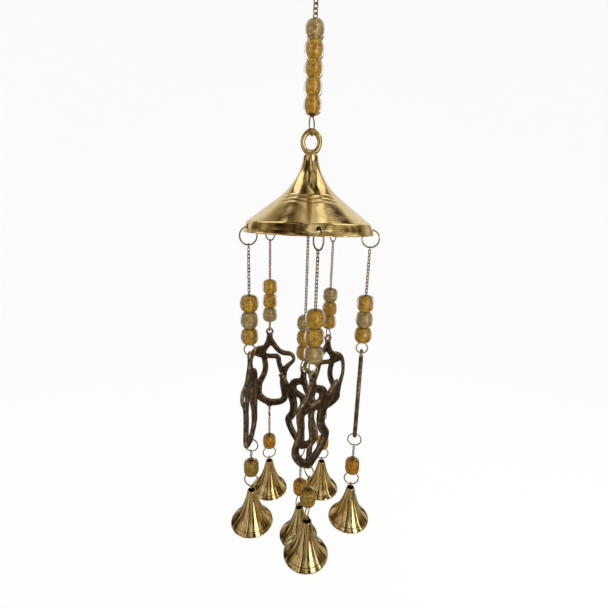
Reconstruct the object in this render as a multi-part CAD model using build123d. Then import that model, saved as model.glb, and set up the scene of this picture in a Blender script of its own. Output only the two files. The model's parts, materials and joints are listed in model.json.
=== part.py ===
from build123d import *
from math import cos, radians, sin
import os

# Hanging brass wind chime. Millimetres, +Z up. The origin is where a hook bears inside the hanging ring.
# Heights in the canopy are counted from its rim, which is at Z = RIM_Z.

# driving sizes
RIM_Z = -142.7          # the canopy's rim below the hook
RIM_RADIUS = 40.0
WALL = 0.9              # spun brass sheet, canopy and bells
SKIRT_HEIGHT = 6.2      # short flared band at the rim
SKIRT_TOP_RADIUS = 37.6
COLLAR_TOP = 44.0       # flat top of the canopy's collar
COLLAR_RADIUS = 4.2
RIM_HOLE_Z = 3.6        # holes for the rim rings
RIM_HOLE_RADIUS = 1.5
HOLE_CIRCLE = 38.1      # radius at which a rim ring crosses the skirt's wall
RING_WIRE = 0.9
WIRE_RING = 11.2        # outside diameter of the rim rings, the bell rings and the ring in the cast eye
CHARM_RING = 8.2        # outside diameter of the small ring above a charm
DROP_RING = 10.2        # outside diameter of the ring below a charm
HANGER_RING = 15.0
HANGER_WIRE = 1.3
REST_OFFSET = 0.3       # a ring's wire stands this far off the centre of the hole it hangs in
GAP = 0.04              # running clearance between wires that hook into each other

EYE_WIDTH = 12.6        # cast eye on the collar
EYE_HEIGHT = 14.2
EYE_BAR = 2.9
SHANK_RADIUS = 1.5
INNER_LOOP = 6.4        # loop under the collar, which carries the centre strand
INNER_LOOP_WIRE = 1.2
NUT_RADIUS = 3.3
NUT_HEIGHT = 1.8

# chains: (link width, wire, pitch)
TOP_CHAIN = (3.2, 0.6, 2.2)
FINE_CHAIN = (2.0, 0.45, 2.0)

# beads: (diameter, height, bore diameter)
TOP_BEAD = (10.9, 8.8, 3.9)
UPPER_BEAD = (11.2, 10.3, 2.8)
LOWER_BEAD = (10.3, 10.8, 2.8)
TOP_BEADS = 5
UPPER_BEADS = 3
BEAD_FACE = 0.75        # width of the flat round a round bead's bore
DRUM_SHOULDER = 2.4     # rounding of the lower beads, which are straight-sided
BEAD_GAP = 0.08
BEAD_SINK = 0.12        # a ring's crown stands this far inside the bore of the bead that rests on it

# charms
CHARM_PLATE = 2.4
CHARM_HOLE_RADIUS = 1.5
CHARM_EYE_RADIUS = 2.95
CHARM_DROP = 60.5       # from the upper hole to the lower one

# bells, heights counted down from the open neck
BELL_HEIGHT = 27.5
BELL_RADIUS = 15.1
NECK_RADIUS = 2.95
NECK_BORE = 2.2
WEB_TOP = 4.4           # the closed floor of the neck, which the eye pin passes through
WEB = 1.2
PIN_WIRE = 0.9
PIN_LOOP = 3.6
CLAPPER_BALL = 5.4
CLAPPER_Z = 21.6

# strand: azimuth from the front, upper links, lower links, charm pattern, mirrored, charm heading, bell ring heading
STRANDS = {
    "front": (8, 32, 6, "horned", True, 40, 73),
    "right": (80, 31, 7, "eared", False, 80, -6),
    "back_right": (152, 33, 10, "eared", True, 20, 0),
    "back_left": (224, 30, 11, "eared", False, 0, 15),
    "left": (296, 31, 5, "eared", True, 84, -10),
    "centre": (0, 56, 12, "horned", False, -35, 60),
}
TOP_LINKS = 30
RIM_RING_TWIST = {"front": 21}      # how far a rim ring hangs turned from square to the skirt

# limbs of the two cast charms, as (x, drop below the upper hole, half width), in the plate's own plane
EARED = [
    [(0, 0, 2.95), (0.2, 8.2, 2.4), (-4.5, 14.3, 2.0), (-4.8, 19.8, 1.9), (-3.2, 25.8, 2.0), (-3.2, 32, 2.0),
     (-5.2, 37.6, 2.1), (-8.2, 42.8, 2.3), (-9.6, 48.5, 3.4), (-9.8, 52.5, 3.2), (-4.8, 57.6, 2.5),
     (1.0, 59.8, 2.6), (8.5, 59, 2.4), (12.2, 55.4, 2.4), (11.6, 48.8, 2.4), (10.6, 41.4, 2.6),
     (10.8, 33, 2.3), (13.8, 27.4, 1.8), (18.2, 22.6, 1.3), (16.9, 17.9, 1.7), (10, 17.4, 1.9),
     (5, 13.6, 1.8), (0.2, 8.2, 2.4)],
    [(-4.8, 19.8, 1.9), (6.8, 19.8, 1.9), (7.2, 26, 1.7), (10.6, 34, 2.2)],
    [(-4.5, 14.3, 2.0), (-8.2, 14.2, 2.0), (-12, 17, 1.8), (-14.3, 22.6, 1.4), (-14.7, 29.6, 1.3),
     (-13.7, 35.8, 1.5), (-12, 41, 1.8), (-9.6, 48.5, 3.4)],
    [(-4.8, 19.8, 1.9), (-8.6, 18, 3.0), (-12, 17, 1.8)],
    [(0, CHARM_DROP, 2.95), (1.0, 59.8, 2.6)],
]
HORNED = [
    [(0, 0, 2.95), (0, 8.4, 2.3), (-4, 10, 2.2), (-8.4, 12.8, 2.6), (-9.2, 18.4, 3.0), (-9.4, 23.6, 3.1),
     (-8, 29.8, 2.7), (-8.8, 37.6, 2.6), (-12.4, 43, 2.6), (-10.6, 49, 2.4), (-6, 55.4, 2.4), (0, CHARM_DROP, 2.95)],
    [(-9.4, 23.6, 3.1), (-13.6, 18.2, 2.2), (-17.2, 12.6, 1.9), (-20.8, 9.4, 1.6)],
    [(0, 8.4, 2.3), (3, 14.4, 2.2), (7.2, 19.2, 2.8), (8.4, 25.4, 2.4), (7.4, 33, 2.2), (9.6, 40, 2.2),
     (11.8, 46.6, 2.3), (9.4, 53, 2.3), (4.4, 58.4, 2.4), (0, CHARM_DROP, 2.95)],
    [(-9.2, 18.4, 3.0), (-1, 21, 1.6), (7.2, 21.6, 2.4)],
    [(-1, 21, 1.6), (0.6, 31, 1.6), (-1.4, 41, 1.7), (0.6, 50, 1.7), (0, CHARM_DROP, 2.95)],
]
PATTERNS = {"eared": EARED, "horned": HORNED}

NECK_TO_RING = 3.0      # the bell ring's lowest wire centre above the open neck


def wire_ring(outside, wire, heading, x, y, z):
    # an upright round ring, its plane turned to the heading, centred on x, y, z
    return Pos(x, y, z) * Rot(0, 0, heading) * Rot(90, 0, 0) * Torus((outside - wire) / 2, wire / 2)


def link_loop(width, wire, pitch):
    # one long link, upright in XZ, centred on the origin
    bend = (width - wire) / 2
    straight = pitch + wire + GAP - 2 * bend
    half = straight / 2
    sides = [Line((bend, 0, -half), (bend, 0, half)), Line((-bend, 0, half), (-bend, 0, -half))]
    over = ThreePointArc((bend, 0, half), (0, 0, half + bend), (-bend, 0, half))
    under = ThreePointArc((-bend, 0, -half), (0, 0, -half - bend), (bend, 0, -half))
    path = Wire([sides[0], over, sides[1], under])
    section = Plane(origin=(bend, 0, -half), z_dir=(0, 0, 1)) * Circle(wire / 2)
    return sweep(section, path=path)


def chain_run(x, y, top, count, size, first, last):
    # hooked links from the topmost wire centre down; the run twists evenly from the first heading to the last
    width, wire, pitch = size
    link = link_loop(*size)
    turn = (last - first - 90 * (count - 1) + 90) % 180 - 90
    middle = top - (pitch + wire + GAP) / 2
    return [
        Pos(x, y, middle - i * pitch) * Rot(0, 0, first + (90 + turn / (count - 1)) * i) * link
        for i in range(count)
    ]


def chain_drop(count, size):
    # from the first link's top wire centre to the last link's bottom wire centre
    return (count - 1) * size[2] + size[2] + size[1] + GAP


def bead(x, y, top, size):
    diameter, height, bore = size
    flat = bore / 2 + BEAD_FACE
    half = height / 2
    crown = ThreePointArc((flat, half), (diameter / 2, 0), (flat, -half))
    face = make_face([
        Line((bore / 2, half), (flat, half)), crown, Line((flat, -half), (bore / 2, -half)),
        Line((bore / 2, -half), (bore / 2, half)),
    ])
    return Pos(x, y, top - half) * revolve(Plane.XZ * face, Axis.Z)


def drum(x, y, bottom, size):
    # a straight-sided bead with rounded shoulders
    diameter, height, bore = size
    solid = Cylinder(diameter / 2, height)
    solid = fillet(solid.edges().filter_by(GeomType.CIRCLE), DRUM_SHOULDER)
    return Pos(x, y, bottom + height / 2) * (solid - Cylinder(bore / 2, height))


def bead_stack(x, y, bottom, size, count):
    step = size[1] + BEAD_GAP
    return [bead(x, y, bottom + size[1] + i * step, size) for i in range(count)]


def inset(points, wall):
    # the same profile moved inwards by the wall, square to its own run
    moved = []
    for i, (r, z) in enumerate(points):
        before = points[max(i - 1, 0)]
        after = points[min(i + 1, len(points) - 1)]
        along = Vector(after[0] - before[0], after[1] - before[1]).normalized()
        moved.append((r + along.Y * wall, z - along.X * wall))
    return moved


def canopy():
    trumpet = [(COLLAR_RADIUS, COLLAR_TOP), (7.2, 33.5), (14.3, 23.9), (26.6, 14.2), (SKIRT_TOP_RADIUS, SKIRT_HEIGHT)]
    inner = inset(trumpet, WALL)
    roof = COLLAR_TOP - 1.2
    inner_top = (inner[0][0] + 0.15, roof)
    skirt_wall = 0.95
    inner_skirt = (SKIRT_TOP_RADIUS - skirt_wall, SKIRT_HEIGHT - 0.6)
    face = make_face([
        Spline(*trumpet, tangents=[(0.18, -1), (1, -0.62)]),
        Line(trumpet[-1], (RIM_RADIUS, 0)),
        Line((RIM_RADIUS, 0), (RIM_RADIUS - skirt_wall, 0)),
        Line((RIM_RADIUS - skirt_wall, 0), inner_skirt),
        Spline(inner_skirt, *reversed(inner[1:-1]), inner_top, tangents=[(-1, 0.62), (-0.18, 1)]),
        Line(inner_top, (SHANK_RADIUS + 0.1, roof)),
        Line((SHANK_RADIUS + 0.1, roof), (SHANK_RADIUS + 0.1, COLLAR_TOP)),
        Line((SHANK_RADIUS + 0.1, COLLAR_TOP), trumpet[0]),
    ])
    shell = revolve(Plane.XZ * face, Axis.Z)
    for name, strand in STRANDS.items():
        if name != "centre":
            drill = Pos(0, 0, RIM_HOLE_Z) * Rot(0, 0, strand[0]) * Rot(90, 0, 0) * Cylinder(RIM_HOLE_RADIUS, 12)
            shell -= Pos(*place(name, RIM_RADIUS - 2), 0) * drill
    return [Pos(0, 0, RIM_Z) * shell]


def place(name, radius=HOLE_CIRCLE):
    if name == "centre":
        return 0.0, 0.0
    azimuth = radians(STRANDS[name][0])
    return radius * sin(azimuth), -radius * cos(azimuth)


def eye_centre():
    return RIM_Z + COLLAR_TOP + EYE_HEIGHT / 2 - 0.2


def top_eye():
    # a cast oval eye with its shank and the loop under the collar, in one piece
    path = Plane.XZ * Ellipse((EYE_WIDTH - EYE_BAR) / 2, (EYE_HEIGHT - EYE_BAR) / 2)
    start = Plane(origin=((EYE_WIDTH - EYE_BAR) / 2, 0, 0), z_dir=(0, 0, 1))
    oval = sweep(start * Circle(EYE_BAR / 2), path=path.wire())
    shank_low = RIM_Z + inner_loop_centre() + (INNER_LOOP - INNER_LOOP_WIRE) / 2
    shank_high = RIM_Z + COLLAR_TOP + 1.2
    shank = Pos(0, 0, (shank_low + shank_high) / 2) * Cylinder(SHANK_RADIUS, shank_high - shank_low)
    loop = wire_ring(INNER_LOOP, INNER_LOOP_WIRE, 0, 0, 0, RIM_Z + inner_loop_centre())
    return [Pos(0, 0, eye_centre()) * oval + shank + loop]


def inner_loop_centre():
    return COLLAR_TOP - 1.2 - NUT_HEIGHT - 2.2 - INNER_LOOP / 2


def eye_nut():
    top = RIM_Z + COLLAR_TOP - 1.2 - 0.03
    blank = Pos(0, 0, top - NUT_HEIGHT / 2) * extrude(RegularPolygon(NUT_RADIUS, 6), NUT_HEIGHT / 2, both=True)
    return [blank - Pos(0, 0, top) * Cylinder(SHANK_RADIUS + 0.02, 4 * NUT_HEIGHT)]


def canopy_ring_centre():
    # the ring hangs from the chain and carries the cast eye by the top of its hole
    hole_top = eye_centre() + EYE_HEIGHT / 2 - EYE_BAR
    return hole_top - GAP - 0.12 - RING_WIRE / 2 + (WIRE_RING - RING_WIRE) / 2


def top_chain():
    ring_z = canopy_ring_centre()
    ring_top = ring_z + (WIRE_RING - RING_WIRE) / 2
    hook = (RING_WIRE + TOP_CHAIN[1]) / 2 + GAP
    start = ring_top - hook + chain_drop(TOP_LINKS, TOP_CHAIN)
    links = chain_run(0, 0, start, TOP_LINKS, TOP_CHAIN, 90, 0)
    return links + [wire_ring(WIRE_RING, RING_WIRE, 90, 0, 0, ring_z)], start


def hanger_ring():
    start = top_chain()[1]
    low = start - (HANGER_WIRE + TOP_CHAIN[1]) / 2 - GAP
    centre = low + (HANGER_RING - HANGER_WIRE) / 2
    return [wire_ring(HANGER_RING, HANGER_WIRE, 0, 0, 0, centre)]


def strand_levels(name):
    # every height of a strand, worked out downwards from what it hangs on
    azimuth, upper, lower = STRANDS[name][:3]
    hook = (RING_WIRE + FINE_CHAIN[1]) / 2 + GAP
    if name == "centre":
        loop_low = RIM_Z + inner_loop_centre() - (INNER_LOOP - INNER_LOOP_WIRE) / 2
        first_wire = loop_low + (INNER_LOOP_WIRE + RING_WIRE) / 2 + GAP
        first_size = CHARM_RING
    else:
        first_wire = RIM_Z + RIM_HOLE_Z - REST_OFFSET
        first_size = WIRE_RING
    at = {"first_size": first_size, "first_pivot": first_wire}
    at["first_ring"] = first_wire - (first_size - RING_WIRE) / 2
    at["upper_top"] = at["first_ring"] - (first_size - RING_WIRE) / 2 + hook
    charm_ring_top = at["upper_top"] - chain_drop(upper, FINE_CHAIN) + hook
    at["charm_ring"] = charm_ring_top - (CHARM_RING - RING_WIRE) / 2
    at["upper_beads"] = charm_ring_top + RING_WIRE / 2 - BEAD_SINK
    at["charm_hole"] = at["charm_ring"] - (CHARM_RING - RING_WIRE) / 2 - REST_OFFSET
    at["drop_pivot"] = at["charm_hole"] - CHARM_DROP - REST_OFFSET
    at["drop_ring"] = at["drop_pivot"] - (DROP_RING - RING_WIRE) / 2
    at["lower_top"] = at["drop_ring"] - (DROP_RING - RING_WIRE) / 2 + hook
    bell_ring_top = at["lower_top"] - chain_drop(lower + bead_links(), FINE_CHAIN) + hook
    at["bell_ring"] = bell_ring_top - (WIRE_RING - RING_WIRE) / 2
    at["lower_bead"] = bell_ring_top + RING_WIRE / 2 - BEAD_SINK
    at["bell_pivot"] = at["bell_ring"] - (WIRE_RING - RING_WIRE) / 2
    at["bell_top"] = at["bell_pivot"] - NECK_TO_RING
    return at


def bead_links():
    # links hidden in the lower bead's bore
    return round(LOWER_BEAD[1] / FINE_CHAIN[2])


def upper_chain(name):
    azimuth, count, _, _, _, heading, _ = STRANDS[name]
    at = strand_levels(name)
    x, y = place(name)
    first_heading = 90 if name == "centre" else azimuth - 90 + RIM_RING_TWIST.get(name, 0)
    ring_heading = heading + 90
    links = chain_run(x, y, at["upper_top"], count, FINE_CHAIN, first_heading + 90, ring_heading + 90)
    return links + [
        wire_ring(at["first_size"], RING_WIRE, first_heading, x, y, at["first_ring"]),
        wire_ring(CHARM_RING, RING_WIRE, ring_heading, x, y, at["charm_ring"]),
    ]


def upper_beads(name):
    return bead_stack(*place(name), strand_levels(name)["upper_beads"], UPPER_BEAD, UPPER_BEADS)


def limb(points):
    # a run of tapered bars with round joints
    bars = []
    for (x0, d0, r0), (x1, d1, r1) in zip(points, points[1:]):
        ends = [Pos(x0, -d0) * Circle(r0), Pos(x1, -d1) * Circle(r1)]
        bars.append(make_hull(Sketch(ends).edges()))
    return bars


def charm(name):
    _, _, _, pattern, mirrored, heading, _ = STRANDS[name]
    bars = [bar for points in PATTERNS[pattern] for bar in limb(points)]
    outline = bars[0].fuse(*bars[1:]).clean()
    plate = extrude(outline, CHARM_PLATE / 2, both=True)
    for drop in (0, CHARM_DROP):
        plate -= Pos(0, -drop) * Cylinder(CHARM_HOLE_RADIUS, 3 * CHARM_PLATE)
    if mirrored:
        plate = mirror(plate, Plane.YZ)
    x, y = place(name)
    upright = Pos(x, y, strand_levels(name)["charm_hole"]) * Rot(0, 0, heading) * Rot(90, 0, 0)
    return [upright * plate]


def lower_chain(name):
    _, _, count, _, _, heading, bell_heading = STRANDS[name]
    at = strand_levels(name)
    x, y = place(name)
    links = chain_run(x, y, at["lower_top"], count + bead_links(), FINE_CHAIN, heading + 180, bell_heading + 90)
    return links + [
        wire_ring(DROP_RING, RING_WIRE, heading + 90, x, y, at["drop_ring"]),
        wire_ring(WIRE_RING, RING_WIRE, bell_heading, x, y, at["bell_ring"]),
    ]


def lower_bead(name):
    return [drum(*place(name), strand_levels(name)["lower_bead"], LOWER_BEAD)]


def bell(name):
    # spun bell: open neck, closed floor in the neck, wide flare, short lip band
    outer = [(NECK_RADIUS, 0), (4.6, -7.6), (6.7, -13.8), (9.8, -20.2), (14.2, -25.6)]
    inner = inset(outer, WALL)
    below = -WEB_TOP - WEB
    lip = (BELL_RADIUS, -BELL_HEIGHT)
    inner_lip = (BELL_RADIUS - WALL, -BELL_HEIGHT)
    inner_start = (NECK_BORE + 0.55, below)
    pin_hole = PIN_WIRE / 2 + 0.12
    face = make_face([
        Line((NECK_BORE, 0), outer[0]),
        Spline(*outer, tangents=[(0.1, -1), (1, -0.9)]),
        Line(outer[-1], lip),
        Line(lip, inner_lip),
        Line(inner_lip, (inner[-1][0], inner[-1][1] - 0.2)),
        Spline((inner[-1][0], inner[-1][1] - 0.2), *reversed(inner[2:-1]), inner_start, tangents=[(-1, 0.9), (-0.2, 1)]),
        Line(inner_start, (pin_hole, below)),
        Line((pin_hole, below), (pin_hole, -WEB_TOP)),
        Line((pin_hole, -WEB_TOP), (NECK_BORE, -WEB_TOP)),
        Line((NECK_BORE, -WEB_TOP), (NECK_BORE, 0)),
    ])
    return [Pos(*place(name), strand_levels(name)["bell_top"]) * revolve(Plane.XZ * face, Axis.Z)]


def pin_levels():
    # heights of the eye pin below the bell's neck
    upper = NECK_TO_RING + PIN_WIRE / 2 + RING_WIRE / 2 + GAP - (PIN_LOOP - PIN_WIRE) / 2
    stop = -WEB_TOP - WEB - GAP
    lower = stop - 0.9 - PIN_LOOP / 2
    return upper, stop, lower


def bell_eye(name):
    # eye pin through the neck's floor, with a stop under the floor and a loop for the clapper
    heading = STRANDS[name][6] + 90
    x, y = place(name)
    top = strand_levels(name)["bell_top"]
    upper, stop, lower = pin_levels()
    reach = (PIN_LOOP - PIN_WIRE) / 2
    shank_top = upper - reach
    shank_low = lower + reach
    pin = Pos(x, y, top + (shank_top + shank_low) / 2) * Cylinder(PIN_WIRE / 2, shank_top - shank_low)
    collar = Pos(x, y, top + stop - 0.4) * Cylinder(1.7, 0.8)
    loops = [wire_ring(PIN_LOOP, PIN_WIRE, heading, x, y, top + z) for z in (upper, lower)]
    return [pin + collar + loops[0] + loops[1]]


def clapper_pivot():
    # wire centre of the pin's lower loop at its lowest point, below the neck
    return pin_levels()[2] - (PIN_LOOP - PIN_WIRE) / 2


def clapper(name):
    heading = STRANDS[name][6]
    x, y = place(name)
    top = strand_levels(name)["bell_top"]
    loop_z = clapper_pivot() + PIN_WIRE + GAP - (PIN_LOOP - PIN_WIRE) / 2
    rod_top = loop_z - (PIN_LOOP - PIN_WIRE) / 2
    rod = Pos(x, y, top + (rod_top - CLAPPER_Z) / 2) * Cylinder(0.6, rod_top + CLAPPER_Z)
    ball = Pos(x, y, top - CLAPPER_Z) * Sphere(CLAPPER_BALL / 2)
    return [wire_ring(PIN_LOOP, PIN_WIRE, heading, x, y, top + loop_z) + rod + ball]


def all_nodes():
    nodes = {
        "hanger_ring": hanger_ring(),
        "top_chain": top_chain()[0],
        "top_beads": bead_stack(0, 0, canopy_ring_centre() + WIRE_RING / 2 - BEAD_SINK, TOP_BEAD, TOP_BEADS),
        "canopy": canopy(),
        "top_eye": top_eye(),
        "eye_nut": eye_nut(),
    }
    makers = (upper_chain, upper_beads, charm, lower_chain, lower_bead, bell, bell_eye, clapper)
    for name in STRANDS:
        for maker in makers:
            nodes[f"{name}_{maker.__name__}"] = maker(name)
    return nodes


def write(nodes):
    os.makedirs("parts", exist_ok=True)
    for name, solids in nodes.items():
        pieces = [solid for shape in solids for solid in shape.solids()]
        export_step(Compound(children=pieces), f"parts/{name}.step")


write(all_nodes())
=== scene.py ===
import json
import math
import random

import bmesh
import bpy
from mathutils import Matrix, Vector, geometry


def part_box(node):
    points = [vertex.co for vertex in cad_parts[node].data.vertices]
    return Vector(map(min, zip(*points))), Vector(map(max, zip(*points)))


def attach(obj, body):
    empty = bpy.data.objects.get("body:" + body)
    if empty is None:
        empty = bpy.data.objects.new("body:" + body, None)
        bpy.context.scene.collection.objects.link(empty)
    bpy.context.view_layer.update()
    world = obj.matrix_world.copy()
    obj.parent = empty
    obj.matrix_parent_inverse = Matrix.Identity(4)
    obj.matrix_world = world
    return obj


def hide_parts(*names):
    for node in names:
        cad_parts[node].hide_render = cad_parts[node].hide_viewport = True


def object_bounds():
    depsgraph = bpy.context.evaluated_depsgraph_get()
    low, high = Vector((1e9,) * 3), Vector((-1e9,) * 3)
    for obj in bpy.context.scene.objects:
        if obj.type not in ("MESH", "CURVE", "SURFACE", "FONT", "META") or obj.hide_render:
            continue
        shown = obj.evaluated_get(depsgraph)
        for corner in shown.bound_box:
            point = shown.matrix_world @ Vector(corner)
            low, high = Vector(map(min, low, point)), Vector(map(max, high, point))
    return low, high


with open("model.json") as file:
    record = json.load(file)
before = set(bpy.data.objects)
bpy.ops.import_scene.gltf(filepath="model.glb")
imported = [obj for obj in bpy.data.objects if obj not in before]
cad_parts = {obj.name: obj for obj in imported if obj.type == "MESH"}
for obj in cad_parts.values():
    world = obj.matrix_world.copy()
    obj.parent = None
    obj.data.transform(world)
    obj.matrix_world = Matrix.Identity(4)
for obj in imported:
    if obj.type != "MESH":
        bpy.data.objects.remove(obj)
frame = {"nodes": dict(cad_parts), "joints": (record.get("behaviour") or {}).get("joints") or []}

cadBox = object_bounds()
mm = 0.001
joints = {joint["name"]: joint for joint in frame["joints"]}
strandNames = ["front", "right", "back_right", "back_left", "left", "centre"]


def pivotOf(joint):
    return Vector(joints[joint]["pos_m"]) / mm


def headingOf(joint):
    axis = joints[joint]["axis"]
    return math.degrees(math.atan2(axis[1], axis[0]))


def newMaterial(name):
    material = bpy.data.materials.new(name)
    material.use_nodes = True
    nodes = material.node_tree.nodes
    return material, nodes, material.node_tree.links, nodes["Principled BSDF"]


def addNode(nodes, kind, **values):
    node = nodes.new(kind)
    for key, value in values.items():
        if key in node.inputs:
            node.inputs[key].default_value = value
        else:
            setattr(node, key, value)
    return node


def ramp(nodes, links, source, stops):
    # a colour ramp fed by source, as (place, colour) stops
    node = nodes.new("ShaderNodeValToRGB")
    elements = node.color_ramp.elements
    while len(elements) < len(stops):
        elements.new(0.5)
    for element, (place, colour) in zip(elements, stops):
        element.position = place
        element.color = (*colour, 1)
    links.new(source, node.inputs["Fac"])
    return node.outputs["Color"]


def grey(value):
    return (value, value, value)


def spunBrass(name, look):
    # polished sheet brass: turned rings, handling haze and a little brown tarnish
    material, nodes, links, shader = newMaterial(name)
    place = nodes.new("ShaderNodeTexCoord").outputs["Object"]
    haze = addNode(nodes, "ShaderNodeTexNoise", Scale=look["hazeScale"], Detail=6.0, Roughness=0.6)
    links.new(place, haze.inputs["Vector"])
    links.new(ramp(nodes, links, haze.outputs["Fac"], look["colours"]), shader.inputs["Base Color"])
    fine = addNode(nodes, "ShaderNodeTexNoise", Scale=look["hazeScale"] * 5, Detail=4.0)
    links.new(place, fine.inputs["Vector"])
    dull = addNode(nodes, "ShaderNodeMapRange")
    dull.inputs["From Min"].default_value = 0.35
    dull.inputs["From Max"].default_value = 0.7
    dull.inputs["To Min"].default_value = look["polish"]
    dull.inputs["To Max"].default_value = look["dullest"]
    links.new(fine.outputs["Fac"], dull.inputs["Value"])
    links.new(dull.outputs["Result"], shader.inputs["Roughness"])
    turned = addNode(nodes, "ShaderNodeTexWave", Scale=look["ringScale"], Distortion=0.0)
    turned.wave_type = "BANDS"
    turned.bands_direction = "Z"
    links.new(place, turned.inputs["Vector"])
    uneven = addNode(nodes, "ShaderNodeTexNoise", Scale=look["dentScale"], Detail=2.0)
    links.new(place, uneven.inputs["Vector"])
    ringBump = addNode(nodes, "ShaderNodeBump", Strength=look["ringDepth"], Distance=0.00004)
    links.new(turned.outputs["Fac"], ringBump.inputs["Height"])
    dentBump = addNode(nodes, "ShaderNodeBump", Strength=look["dentDepth"], Distance=0.0004)
    links.new(uneven.outputs["Fac"], dentBump.inputs["Height"])
    links.new(ringBump.outputs["Normal"], dentBump.inputs["Normal"])
    links.new(dentBump.outputs["Normal"], shader.inputs["Normal"])
    shader.inputs["Metallic"].default_value = 1.0
    return material


def wireBrass(name, colours, polish):
    # drawn wire and small castings: brass darkened in patches
    material, nodes, links, shader = newMaterial(name)
    place = nodes.new("ShaderNodeTexCoord").outputs["Object"]
    patch = addNode(nodes, "ShaderNodeTexNoise", Scale=520.0, Detail=5.0, Roughness=0.65)
    links.new(place, patch.inputs["Vector"])
    links.new(ramp(nodes, links, patch.outputs["Fac"], colours), shader.inputs["Base Color"])
    links.new(ramp(nodes, links, patch.outputs["Fac"], [(0.3, grey(polish + 0.25)), (0.7, grey(polish))]),
              shader.inputs["Roughness"])
    grain = addNode(nodes, "ShaderNodeTexNoise", Scale=2600.0, Detail=2.0)
    links.new(place, grain.inputs["Vector"])
    bump = addNode(nodes, "ShaderNodeBump", Strength=0.25, Distance=0.00006)
    links.new(grain.outputs["Fac"], bump.inputs["Height"])
    links.new(bump.outputs["Normal"], shader.inputs["Normal"])
    shader.inputs["Metallic"].default_value = 1.0
    return material


def charmBronze():
    # dark patinated casting, worn to warm metal by hands on what stands proud; the same lighter colour there is also
    # a painted rim highlight
    material, nodes, links, shader = newMaterial("charmBronze")
    place = nodes.new("ShaderNodeTexCoord").outputs["Object"]
    wearHighlightNode = nodes.new("ShaderNodeAttribute")
    wearHighlightNode.attribute_name = "wearAndRimHighlight"
    patch = addNode(nodes, "ShaderNodeTexNoise", Scale=380.0, Detail=7.0, Roughness=0.7)
    links.new(place, patch.inputs["Vector"])
    mixed = addNode(nodes, "ShaderNodeMath", operation="MULTIPLY_ADD")
    mixed.inputs[1].default_value = 0.40
    links.new(wearHighlightNode.outputs["Fac"], mixed.inputs[0])
    links.new(patch.outputs["Fac"], mixed.inputs[2])
    colours = [(0.40, (0.036, 0.022, 0.012)), (0.56, (0.095, 0.059, 0.032)), (0.73, (0.24, 0.165, 0.095)),
               (0.92, (0.74, 0.60, 0.40))]
    # proud rims take the lighter colours: real wear, and a painted rim highlight as well
    links.new(ramp(nodes, links, mixed.outputs["Value"], colours), shader.inputs["Base Color"])
    links.new(ramp(nodes, links, mixed.outputs["Value"], [(0.45, grey(0.62)), (0.95, grey(0.3))]),
              shader.inputs["Roughness"])
    pits = addNode(nodes, "ShaderNodeTexNoise", Scale=900.0, Detail=5.0, Roughness=0.6)
    links.new(place, pits.inputs["Vector"])
    bump = addNode(nodes, "ShaderNodeBump", Strength=0.7, Distance=0.00025)
    links.new(pits.outputs["Fac"], bump.inputs["Height"])
    links.new(bump.outputs["Normal"], shader.inputs["Normal"])
    shader.inputs["Metallic"].default_value = 0.85
    return material


def blownGlass(name, deep, clear, gloss):
    # lampworked glass: a faint tint in drifts and a soft, wavy surface
    material, nodes, links, shader = newMaterial(name)
    place = nodes.new("ShaderNodeTexCoord").outputs["Object"]
    flow = addNode(nodes, "ShaderNodeTexNoise", Scale=260.0, Detail=3.0)
    links.new(place, flow.inputs["Vector"])
    links.new(ramp(nodes, links, flow.outputs["Fac"], [(0.3, deep), (0.65, clear)]),
              shader.inputs["Base Color"])
    links.new(ramp(nodes, links, flow.outputs["Fac"], [(0.3, grey(gloss * 2)), (0.7, grey(gloss))]),
              shader.inputs["Roughness"])
    bump = addNode(nodes, "ShaderNodeBump", Strength=0.3, Distance=0.0003)
    links.new(flow.outputs["Fac"], bump.inputs["Height"])
    links.new(bump.outputs["Normal"], shader.inputs["Normal"])
    shader.inputs["Transmission Weight"].default_value = 1.0
    shader.inputs["IOR"].default_value = 1.5
    return material


def foilCore(name, colours):
    # metal foil, crinkled round the core of a bead
    material, nodes, links, shader = newMaterial(name)
    place = nodes.new("ShaderNodeTexCoord").outputs["Object"]
    stretch = addNode(nodes, "ShaderNodeMapping")
    stretch.inputs["Scale"].default_value = (420.0, 420.0, 760.0)
    links.new(place, stretch.inputs["Vector"])
    crinkle = addNode(nodes, "ShaderNodeTexNoise", Scale=1.0, Detail=5.0, Roughness=0.65)
    links.new(stretch.outputs["Vector"], crinkle.inputs["Vector"])
    links.new(ramp(nodes, links, crinkle.outputs["Fac"], colours), shader.inputs["Base Color"])
    bump = addNode(nodes, "ShaderNodeBump", Strength=0.6, Distance=0.0003)
    links.new(crinkle.outputs["Fac"], bump.inputs["Height"])
    links.new(bump.outputs["Normal"], shader.inputs["Normal"])
    shader.inputs["Metallic"].default_value = 0.55
    shader.inputs["Roughness"].default_value = 0.28
    return material


brassCanopy = spunBrass("brassCanopy", {
    "hazeScale": 34.0, "polish": 0.08, "dullest": 0.2, "ringScale": 330.0, "ringDepth": 0.1,
    "dentScale": 40.0, "dentDepth": 0.10,
    "colours": [(0.25, (0.50, 0.33, 0.12)), (0.48, (0.72, 0.53, 0.24)), (0.75, (0.82, 0.66, 0.36))]})
brassBell = spunBrass("brassBell", {
    "hazeScale": 90.0, "polish": 0.07, "dullest": 0.20, "ringScale": 500.0, "ringDepth": 0.2,
    "dentScale": 110.0, "dentDepth": 0.22,
    "colours": [(0.25, (0.46, 0.31, 0.12)), (0.5, (0.70, 0.53, 0.25)), (0.78, (0.84, 0.70, 0.40))]})
brassWire = wireBrass("brassWire", [
    (0.32, (0.10, 0.065, 0.024)), (0.46, (0.46, 0.32, 0.11)), (0.62, (0.84, 0.63, 0.25))], 0.27)
brassCast = wireBrass("brassCast", [
    (0.30, (0.16, 0.105, 0.035)), (0.5, (0.50, 0.37, 0.14)), (0.7, (0.76, 0.59, 0.26))], 0.2)
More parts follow.
